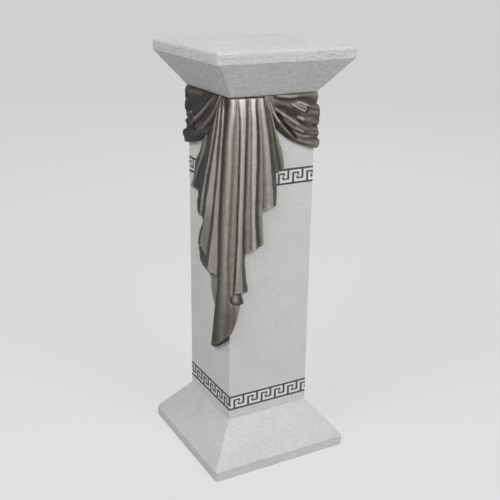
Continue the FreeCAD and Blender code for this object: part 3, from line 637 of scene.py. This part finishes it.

# Folds on the near half of each swag as strokes of (height, width, tone, points), with points of
# (distance along the outline from the front corner, drop). The tone is rubbed silver, and in part
# painted highlights on lit folds and painted shade on others.
RIGHT_STROKES = [
    (2.6, 5, 0.26, [(72.1, 1.3), (77.3, 6.9), (82.8, 14.3), (86.4, 21.5), (89.3, 28.8)]),
    (1.6, 7, 0.2, [(76, 1), (84, 6), (92, 14)]),
    (2, 3.2, 0.34, [(96.8, 1.7), (110.5, 2.9), (124.3, 4.3), (135.4, 4)]),
    (1.4, 3.4, 0.16, [(136.6, 4.4), (153.4, 3), (171.8, 3)]),
    (-1.8, 3.2, -0.16, [(92.7, 4), (106.2, 7.9), (121.4, 10.4), (138.1, 9.4), (155, 10.3),
                        (176.5, 14.1)]),
    (-1.2, 5, -0.12, [(144.3, 10.3), (162.8, 13.3), (177.2, 15.5)]),
    (1.8, 4, 0.16, [(84, 7.9), (95, 12.2), (108.8, 17), (122.7, 20.9)]),
    (3, 3, 0.42, [(137, 15.4), (144, 16), (151.5, 19.3), (159.6, 22.6)]),
    (2.6, 3.6, 0.26, [(134, 18), (146, 22), (155, 26.5)]),
    (3.4, 1.7, 0.5, [(125.6, 17.1), (134.8, 22.5), (144.8, 27.7), (153.1, 31.4)]),
    (-2, 2.4, -0.24, [(159.9, 24.8), (161.5, 29.7), (156.8, 35.4)]),
    (-1.4, 6, -0.16, [(93.5, 16.5), (110.2, 23.6), (127, 30.8), (141.2, 36.6)]),
    (-1.2, 4.5, -0.2, [(118, 32.6), (129.2, 37.1), (140.6, 40.9)]),
    (1.2, 4.5, 0.04, [(139.8, 31.4), (154.1, 37.3), (168.4, 37.2), (182.6, 34.6)]),
    (3.4, 3.4, 0.34, [(94, 25), (103.3, 31.1), (117.3, 39.9), (130.1, 48.1), (138.2, 53.6)]),
    (2.6, 4, 0.14, [(140.8, 55.2), (153.9, 61.7), (175.8, 70.3)]),
    (2.6, 2.8, 0.46, [(140, 41.9), (146.4, 44.3), (149.7, 46)]),
    (2.2, 4, 0.14, [(151, 46.5), (165.3, 47.7), (182.4, 42.9)]),
    (-2, 2.2, -0.2, [(138.6, 45), (148.1, 53), (159.8, 60.7), (174.6, 68.7)]),
    (-1.6, 2, -0.18, [(93, 26.6), (100.1, 34.8), (111.4, 44), (122.8, 52.2), (134.2, 59.1)]),
    (2, 4, 0.24, [(112.8, 45.3), (123.5, 54), (136.4, 61.7), (150.3, 69.4)]),
    (-1.6, 1.3, -0.26, [(119.4, 59.6), (128.4, 63.6), (138.9, 67.4), (153.4, 73), (163.5, 75.3)]),
    (2, 3.6, 0.2, [(130.8, 68.1), (139.6, 72.9), (152.6, 77.8), (164.1, 79.4)]),
    (-3.2, 3.2, -0.4, [(98.7, 33), (107.2, 44.2), (118.3, 56.9), (128.5, 68.6), (136.7, 79.1)]),
    (3.6, 2.4, 0.46, [(87.8, 29.5), (93.5, 37), (99.6, 46)]),
    (3.6, 3.4, 0.16, [(99.6, 46), (107, 55.9), (118.5, 66.5), (130, 76.6), (143, 83.2), (158.9, 89),
                      (179.4, 93.4)]),
    (0, 3.4, -0.2, [(90, 43), (106.1, 61.5), (116.1, 72.5), (130.5, 82.5)]),
]
LEFT_STROKES = [
    (1.4, 5, 0.24, [(105, 5.2), (124.1, 6), (141.5, 6.6), (157.7, 8.7)]),
    (-1.2, 7, -0.05, [(100, 16), (130, 28), (160, 36)]),
    (3.2, 5.8, 0.42, [(60.5, 6.3), (76.1, 18.1), (96.1, 32.2), (118.5, 45.9), (136.8, 57)]),
    (2.4, 4, 0.22, [(118.5, 46.9), (142.8, 61), (157.3, 70.4)]),
    (-2.2, 2.6, -0.12, [(60, 0.5), (74.9, 11), (101.4, 28.9), (122.9, 42), (138.9, 50.8)]),
    (1.2, 2.4, 0.4, [(150.7, 45.6), (161, 48.4), (171.6, 50.6)]),
    (-2.6, 2.6, -0.12, [(55, 0.4), (68.7, 15.3), (88.4, 33), (111.6, 49.3), (145.6, 68.8)]),
    (3.4, 5.6, 0.32, [(34.4, 0.2), (43.3, 14.3), (63.4, 36.8), (82.2, 52.3), (105.3, 65.5), (128, 72.4)]),
    (0, 5, 0.4, [(34.4, 0.2), (38.9, 6.1), (45.4, 14.1)]),
    (-1, 4, -0.1, [(51.6, 35.3), (66.3, 50), (81.3, 63.4), (104.3, 75.9)]),
    (0.8, 2.6, 0.36, [(82.7, 63.4), (87.5, 71.8)]),
    (-2.4, 2.2, -0.1, [(97.8, 59.3), (113.4, 67.1), (139.4, 76.2), (159.7, 77.1)]),
    (5.2, 8.5, -0.04, [(91.8, 72.6), (117.2, 84.2), (143.4, 92.7), (174.4, 94)]),
]
# The left swag's hem hangs lower than the right one's: (distance, extra drop).
LEFT_HEM = [(40, 6), (90, 6), (112, 4.8), (132, 5.2), (156, 6.6), (175, 7), (200, 4), (225, 0)]
SWAG_DROPS = np.arange(0.0, 112.01, 0.85)
SWAG_SMOOTHING = 12.0
SWAG_HEM = (4.0, 0.5)
SWAG_TONES = {"crest": 0.18, "valley": -0.12}
# Past the side corner: the reliefs of the upper edge, crests and valleys at shares of the way to the
# back corner, and how the folds sag and ripple.
FAR_RELIEFS = {
    "edge": [(0.2, 6.5), (0.85, 6.5), (1, 5.0)],
    "crest": [(0.18, 10.8), (0.55, 11.2), (0.85, 10.8), (1, 7.6)],
    "valley": [(0.18, 5.2), (0.55, 5.6), (0.85, 5.2), (1, 4.6)],
}
SAG_POWER = 2.6
RIPPLE_HEIGHT = 1.3
RIPPLE_LENGTH = 23
# The strokes' surface gives way to the rails' from this distance on, over this length.
BLEND_START, BLEND_LENGTH = 152, 30


def swag_tables(along, first, sign, seed):
    """Each rail's drop and relief at every distance along a swag, with the rails kept in order."""
    stations = np.array(SWAG_STATIONS, float) + TURN / 2 - ROUND
    stations[-1] = SIDE_CORNER
    scale = (SIDE_CORNER - first) / (SIDE_CORNER - stations[0])
    stations = SIDE_CORNER - (SIDE_CORNER - stations) * scale
    past = np.clip((along - SIDE_CORNER) / (BACK_CORNER - SIDE_CORNER), 0, 1)
    beyond = along > SIDE_CORNER
    positions, heights = [], []
    for k, (kind, _, rail_drops, reliefs) in enumerate(SWAG_RAILS):
        corner_relief = LEFT_CORNER[k] if sign < 0 else reliefs[-1]
        near = smooth_line(along, list(zip(stations, rail_drops)), SWAG_SMOOTHING)
        lift = smooth_line(along, list(zip(stations, [*reliefs[:-1], corner_relief])), SWAG_SMOOTHING)
        far = BACK_DROPS[k] + (rail_drops[-1] - BACK_DROPS[k]) * (1 - past ** SAG_POWER)
        if k > 0:
            ripple = value_noise(along / RIPPLE_LENGTH + 3 * k, np.full(len(along), 0.37 + k), seed)
            far += RIPPLE_HEIGHT * ripple * np.minimum(past * 6, 1)
        rise = np.interp(past, *zip((0, corner_relief), *FAR_RELIEFS[kind if k else "edge"]))
        positions.append(np.where(beyond, far, near))
        heights.append(np.where(beyond, rise, lift))
    window = np.ones(7) / 7
    positions, heights = (np.array([np.convolve(np.pad(row, 3, "edge"), window, "valid") for row in table])
                          for table in (positions, heights))
    return in_order(positions, 0.35), heights


def make_swag(name, sign, strokes, first, ground, seed):
    """A swag from its first distance round the side corner to the back corner.

    Its ground is how bright the silver is between the folds, and its sign is -1 on the left. On the left swag
    the darker ground is partly darker patina and partly painted shade."""
    along = np.arange(first - 2.0, BACK_CORNER + 0.01, 1.0)
    along[-1] = BACK_CORNER
    s, d = np.meshgrid(along, SWAG_DROPS)
    positions, heights = swag_tables(along, first, sign, seed)
    tones = np.array([[ground + SWAG_TONES[rail[0]]] * 2 for rail in SWAG_RAILS])
    relief, wear_and_light = (table.T for table in folded(d.T, positions, heights, SWAG_RAILS, tones))
    rise, tone_and_light = stroke_fields(strokes, s, d)
    billow = np.interp(s, [first, first + 20, first + 50, 150], [3.5, 5.0, 6.2, 6.4])
    share = eased(np.clip((s - BLEND_START) / BLEND_LENGTH, 0, 1))
    relief = np.maximum(billow + rise, 2.4) * (1 - share) + relief * share
    wear_and_light = (ground + tone_and_light) * (1 - share) + wear_and_light * share
    relief += 0.3 * value_noise(s / 19, d / 3.1 - s / 14, seed + 1)
    relief += 0.13 * value_noise(s / 3.3, d / 3.0, seed + 2)
    edge = positions[-1] + 0.4
    if sign < 0:
        edge = edge + smooth_line(along, LEFT_HEM, SWAG_SMOOTHING)
    depth = (edge - d) / np.sqrt(1 + np.gradient(edge, along) ** 2)
    depth = np.minimum(depth, s - (first - 1.0))
    relief = relief * edge_round(depth, *SWAG_HEM)
    patina_and_shade = patina_and_shade_of(relief, wear_and_light, 1)
    return casting(name, sign * along[::sign], SWAG_DROPS, np.maximum(relief, LEAST_RELIEF)[:, ::sign],
                   depth[:, ::sign], patina_and_shade[:, ::sign])


# -------------------- key lines on the strips

LINE_RISE = 0.35
LINE_SINK = 0.3
LINE_WIDTH = 3.4
BAR_WIDTH = 3.9
ARM_WIDTH = 2.6
# A turn of the key has a bar at its foot and one at its head, and a hooked arm on each.
PITCH = 30.5
HEAD = 20.0
ARM_REACH = 12.6
UPPER_ARM, LOWER_ARM = 18.8, 8.6
HOOK_LENGTH = 4.6
HOOK_WIDTH = 2.3 * ARM_WIDTH / 2
# From the middle of the bottom line to the middle of the top line.
BAND_LINES = 26.5
# Where the pattern starts on the right, back and left face, and how heavy its lines are there.
KEY_SIDES = ((11.5, 1.0), (11.5, 1.0), (-1.5, 1.45))
FRONT_WEIGHT = 1.1
STRIP = 2 * HALF
CORNER_STOPS = np.linspace(0, ROUND, 5)


def key_rectangles(start, weight):
    """The key pattern of one face as rectangles (left, right, low, high) above the bottom line."""
    half, bar, arm = weight * LINE_WIDTH / 2, weight * BAR_WIDTH / 2, weight * ARM_WIDTH / 2
    hook = weight * HOOK_WIDTH
    made = [(0, STRIP, -half, half), (0, STRIP, BAND_LINES - half, BAND_LINES + half)]
    for turn in range(-1, 6):
        foot = start + turn * PITCH
        head = foot + HEAD
        right_end, left_end = foot + ARM_REACH, head - ARM_REACH
        bars = [(foot - bar, foot + bar, 0, UPPER_ARM + arm),
                (foot, right_end, UPPER_ARM - arm, UPPER_ARM + arm),
                (right_end - hook, right_end, UPPER_ARM - HOOK_LENGTH, UPPER_ARM),
                (head - bar, head + bar, LOWER_ARM - arm, BAND_LINES),
                (left_end, head, LOWER_ARM - arm, LOWER_ARM + arm),
                (left_end, left_end + hook, LOWER_ARM, LOWER_ARM + HOOK_LENGTH)]
        for left, right, low, high in bars:
            left, right = max(left, 0), min(right, STRIP)
            if right > left:
                made.append((left, right, low, high))
    return made


def on_outline(face, across):
    """Distance along the outline of a place on a face, in the direction of the front face."""
    if across < ROUND:
        beyond = TURN / 2 * (1 + across / ROUND)
    elif across > STRIP - ROUND:
        beyond = LAP + TURN / 2 * (across - STRIP + ROUND) / ROUND
    else:
        beyond = TURN + across - ROUND
    return face * LAP + beyond - TURN / 2


def make_key_lines(name, level, front_start):
    """The lines of one band, round all four faces. Its bottom line's middle is at the level."""
    columns, filled = [], []
    sides = ((front_start, FRONT_WEIGHT), *KEY_SIDES)
    patterns = [key_rectangles(start, weight) for start, weight in sides]
    levels = sorted({value for rectangles in patterns for r in rectangles for value in r[2:]})
    for face, rectangles in enumerate(patterns):
        stops = {*CORNER_STOPS, *(STRIP - CORNER_STOPS)}
        stops = sorted(stops | {value for r in rectangles for value in r[:2]})
        for left, right in zip(stops, stops[1:]):
            if right - left < 1e-6:
                continue
            across = (left + right) / 2
            columns.append(on_outline(face, left))
            filled.append([any(r[0] < across < r[1] and r[2] < (low + high) / 2 < r[3] for r in rectangles)
                           for low, high in zip(levels, levels[1:])])
    count, rows = len(columns), len(levels)
    grid_s = np.repeat(columns, rows)
    grid_d = TOP - (level + np.tile(levels, count))
    outer = wrap(grid_s, np.full(len(grid_s), LINE_RISE), grid_d)
    inner = wrap(grid_s, np.full(len(grid_s), -LINE_SINK), grid_d)
    size = count * rows
    faces = []
    for i in range(count):
        j = (i + 1) % count
        for k in range(rows - 1):
            if not filled[i][k]:
                continue
            a, b, c, e = i * rows + k, j * rows + k, j * rows + k + 1, i * rows + k + 1
            faces.append((a, b, c, e))
            faces.append((e + size, c + size, b + size, a + size))
            if k == 0 or not filled[i][k - 1]:
                faces.append((a, a + size, b + size, b))
            if k == rows - 2 or not filled[i][k + 1]:
                faces.append((c, c + size, e + size, e))
            if not filled[i - 1][k]:
                faces.append((e, e + size, a + size, a))
            if not filled[j][k]:
                faces.append((b, b + size, c + size, c))
    used, packed = np.unique(np.array(faces), return_inverse=True)
    points = np.concatenate([outer, inner])[used]
    return new_object(name, points, packed.reshape(-1, 4).tolist())


# -------------------- materials

def new_material(name):
    material = bpy.data.materials.new(name)
    material.use_nodes = True
    tree = material.node_tree
    shader = tree.nodes["Principled BSDF"]
    return material, tree, shader


def set_inputs(node, **values):
    """Constants on a node's sockets. An underscore stands for a space."""
    for name, value in values.items():
        node.inputs[name.replace("_", " ")].default_value = value


def noise(tree, scale, detail=3.0, roughness=0.5, stretch=(1, 1, 1), distortion=0.0):
    """Noise on object coordinates. The scale is in features per metre."""
    place = tree.nodes.new("ShaderNodeTexCoord")
    mapping = tree.nodes.new("ShaderNodeMapping")
    set_inputs(mapping, Scale=stretch)
    texture = tree.nodes.new("ShaderNodeTexNoise")
    set_inputs(texture, Scale=scale, Detail=detail, Roughness=roughness, Distortion=distortion)
    tree.links.new(place.outputs["Object"], mapping.inputs["Vector"])
    tree.links.new(mapping.outputs["Vector"], texture.inputs["Vector"])
    return texture.outputs["Fac"]


def ramp(tree, value, stops):
    """Colours at (place, colour) stops along a value."""
    node = tree.nodes.new("ShaderNodeValToRGB")
    elements = node.color_ramp.elements
    while len(elements) < len(stops):
        elements.new(0.5)
    for element, (place, colour) in zip(elements, stops):
        element.position = place
        element.color = (*colour, 1.0)
    tree.links.new(value, node.inputs["Fac"])
    return node.outputs["Color"]


def math_node(tree, operation, first, second, third=None):
    node = tree.nodes.new("ShaderNodeMath")
    node.operation = operation
    for socket, value in zip(node.inputs, (first, second, third)):
        if value is None:
            continue
        if isinstance(value, (int, float)):
            socket.default_value = value
        else:
            tree.links.new(value, socket)
    return node.outputs[0]


def bump(tree, shader, fields):
    """Stacked bumps of (height, depth in metres)."""
    previous = None
    for height, depth in fields:
        node = tree.nodes.new("ShaderNodeBump")
        set_inputs(node, Strength=1.0, Distance=depth)
        tree.links.new(height, node.inputs["Height"])
        if previous is not None:
            tree.links.new(previous, node.inputs["Normal"])
        previous = node.outputs["Normal"]
    tree.links.new(previous, shader.inputs["Normal"])


def plaster_material(name, base, stucco):
    """Cast plaster with a cloudy tone and brushed wrinkles whose pits are a little darker: dirt, and painted
    shade for the wrinkles' relief.

    Its stucco is how strong the wrinkles are, in their bump and in their painted shade."""
    material, tree, shader = new_material(name)
    cloudy = noise(tree, 14.0, 4.0, 0.55)
    swirl = noise(tree, 150.0, 3.0, 0.55, (0.7, 0.7, 1.7), 0.8)
    grain = noise(tree, 900.0, 3.0, 0.6)
    # the wrinkles darken the colour where their bump is low: dirt and painted shade
    mixed = math_node(tree, "MULTIPLY_ADD", cloudy, 0.5,
                      math_node(tree, "MULTIPLY_ADD", swirl, 0.42 * stucco, 0.25 - 0.21 * stucco))
    low = tuple(0.9 * c for c in base)
    high = tuple(min(1.0, 1.1 * c) for c in base)
    colour = ramp(tree, mixed, [(0.2, low), (0.8, high)])
    tree.links.new(colour, shader.inputs["Base Color"])
    set_inputs(shader, Roughness=0.72, Specular_IOR_Level=0.35)
    bump(tree, shader, [(swirl, 0.0008 * stucco), (grain, 0.0002 * stucco)])
    return material


def plain_material(name, low, high, features, roughness, grain, depth):
    """Two tones mixed by a noise of some features per metre, with a fine grain over them."""
    material, tree, shader = new_material(name)
    tree.links.new(ramp(tree, noise(tree, *features), [low, high]), shader.inputs["Base Color"])
    set_inputs(shader, Roughness=roughness)
    bump(tree, shader, [(noise(tree, grain), depth)])
    return material


def bedding_material(name, shade):
    low, high = (0.3, (0.8 * shade,) * 3), (0.7, (1.2 * shade, 1.18 * shade, 1.14 * shade))
    return plain_material(name, low, high, (120.0,), 0.9, 700.0, 0.0004)


def line_material():
    low, high = (0.3, (0.05, 0.051, 0.049)), (0.75, (0.09, 0.092, 0.087))
    return plain_material("key_lines", low, high, (160.0, 4.0), 0.6, 800.0, 0.0002)


def silver_material():
    """Silver paint, rubbed on the crests, over a dark patina that stays in the folds, with painted light and
    shade mixed into its darkness.
    """
    material, tree, shader = new_material("silver_cloth")
    patina_and_shade = tree.nodes.new("ShaderNodeAttribute")
    patina_and_shade.attribute_name = "patina_and_shade"
    rubbed = math_node(tree, "MULTIPLY_ADD", noise(tree, 90.0, 4.0, 0.6), 0.2, -0.1)
    speckle = math_node(tree, "MULTIPLY_ADD", noise(tree, 700.0, 2.0, 0.5), 0.12, -0.06)
    tone_and_light = math_node(tree, "ADD", math_node(tree, "ADD", patina_and_shade.outputs["Fac"], rubbed), speckle)
    colour = ramp(tree, tone_and_light, [(0.0, (0.70, 0.69, 0.67)), (0.15, (0.50, 0.48, 0.45)),
                               (0.30, (0.32, 0.305, 0.275)), (0.45, (0.19, 0.178, 0.157)),
                               (0.60, (0.10, 0.092, 0.080)), (0.78, (0.042, 0.039, 0.034)),
                               (1.0, (0.018, 0.017, 0.015))])
    tree.links.new(colour, shader.inputs["Base Color"])
    rough = math_node(tree, "MULTIPLY_ADD", tone_and_light, 0.2, 0.42)
    tree.links.new(rough, shader.inputs["Roughness"])
    set_inputs(shader, Metallic=0.2, Specular_IOR_Level=0.22)
    dimples = noise(tree, 420.0, 3.0, 0.55)
    grain = noise(tree, 1300.0, 2.0, 0.5)
    bump(tree, shader, [(dimples, 0.0006), (grain, 0.00012)])
    return material


def set_material(obj, material):
    obj.data.materials.clear()
    obj.data.materials.append(material)


# -------------------- stage and lights

WORLD_LIGHT = 0.17
BACKDROP_LIGHT = 0.86
FLOOR_REACH = 60000.0
FLOOR_GLOW_SHARE = 0.68
LIGHT_TARGET = (0.0, 0.0, 0.45)
# Each lamp: its name, its place and size in metres and its power in watts.
LIGHTS = (
    ("front_light", (0.6, -2.4, 2.2), 1.4, 46.5),
    ("left_light", (-2.0, -0.6, 2.6), 1.4, 46.0),
    ("back_light", (1.7, 2.3, 2.3), 1.6, 15.0),
)


def seen_rays(tree):
    """1 for rays that show the backdrop: to the camera, in a reflection or through glass."""
    rays = tree.nodes.new("ShaderNodeLightPath")
    shown = math_node(tree, "MAXIMUM", rays.outputs["Is Camera Ray"], rays.outputs["Is Transmission Ray"])
    return math_node(tree, "MAXIMUM", shown, rays.outputs["Is Glossy Ray"])


def make_stage():
    """A plain floor, which glows a little where the camera sees it."""
    corners = [(x * FLOOR_REACH, y * FLOOR_REACH, 0) for x, y in ((-1, -1), (1, -1), (1, 1), (-1, 1))]
    floor = new_object("floor", corners, [(0, 1, 2, 3)])
    material, tree, shader = new_material("floor")
    set_inputs(shader, Base_Color=(0.6, 0.6, 0.6, 1), Roughness=0.95, Specular_IOR_Level=0.1)
    glow = tree.nodes.new("ShaderNodeEmission")
    set_inputs(glow, Color=(0.86, 0.86, 0.87, 1))
    seen = math_node(tree, "MULTIPLY", seen_rays(tree), FLOOR_GLOW_SHARE)
    mix = tree.nodes.new("ShaderNodeMixShader")
    output = tree.nodes["Material Output"]
    tree.links.new(seen, mix.inputs["Fac"])
    tree.links.new(shader.outputs["BSDF"], mix.inputs[1])
    tree.links.new(glow.outputs["Emission"], mix.inputs[2])
    tree.links.new(mix.outputs["Shader"], output.inputs["Surface"])
    set_material(floor, material)


def make_world():
    """White light all round, brighter where the camera sees it as a backdrop."""
    world = bpy.data.worlds.new("studio")
    bpy.context.scene.world = world
    world.use_nodes = True
    tree = world.node_tree
    back = tree.nodes["Background"]
    strength = tree.nodes.new("ShaderNodeMapRange")
    set_inputs(strength, To_Min=WORLD_LIGHT, To_Max=BACKDROP_LIGHT)
    tree.links.new(seen_rays(tree), strength.inputs["Value"])
    tree.links.new(strength.outputs["Result"], back.inputs["Strength"])
    set_inputs(back, Color=(1, 1, 1, 1))


def make_lights():
    for name, place, size, power in LIGHTS:
        data = bpy.data.lights.new(name, "AREA")
        data.size = size
        data.energy = power
        aim(name, data, place, LIGHT_TARGET)


# -------------------- assembly

make_camera()
make_stage()
make_world()
make_lights()

silver = silver_material()
tail = make_tail()
swag_right = make_swag("drape_swag_right_cloth", 1, RIGHT_STROKES, first=72.0, ground=0.39, seed=21)
# the left swag's darker ground is partly darker patina and partly painted shade
swag_left = make_swag("drape_swag_left_cloth", -1, LEFT_STROKES, first=34.0, ground=0.15, seed=41)
cloths = ((tail, "drape_tail"), (swag_right, "drape_swag_right"), (swag_left, "drape_swag_left"))
for piece, node in cloths:
    set_material(piece, silver)
    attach(piece, "root")
    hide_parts(node)

# Where each band's pattern starts on the front face.
KEY_STARTS = {"lower": 10.5, "upper": 7.8}
lines = line_material()
for band, start in KEY_STARTS.items():
    low, high = box_mm(f"{band}_key_front")
    piece = make_key_lines(f"{band}_key_lines", (low[2] + high[2] - BAND_LINES) / 2, start)
    set_material(piece, lines)
    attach(piece, "root")

PLASTER = (0.685, 0.687, 0.683)
# Each plaster: its name, its colour, its stucco and the castings made of it.
PLASTERS = (
    ("plaster", PLASTER, 1.6, ["shaft"]),
    ("slope_plaster", PLASTER, 2.5, ["base"]),
    # the capital's plaster is a little darker than the shaft's: painted shade for its downward-facing flare
    ("brushed_plaster", (0.67, 0.672, 0.668), 3.6, ["capital"]),
    ("band_ground", (0.79, 0.792, 0.788), 0.5,
     [f"{band}_key_{side}" for band in KEY_STARTS for side in ("front", "right", "back", "left")]),
)
for name, colour, stucco, castings in PLASTERS:
    material = plaster_material(name, colour, stucco)
    for node in castings:
        set_material(nodes[node], material)
set_material(nodes["base_bed"], bedding_material("pale_bedding", 0.66))
# the capital's bed is nearly black: a dark joint, and painted shade under the capital's overhang
set_material(nodes["capital_bed"], bedding_material("dark_bedding", 0.16))

bpy.context.scene.view_settings.view_transform = "Standard"
bpy.context.view_layer.update()
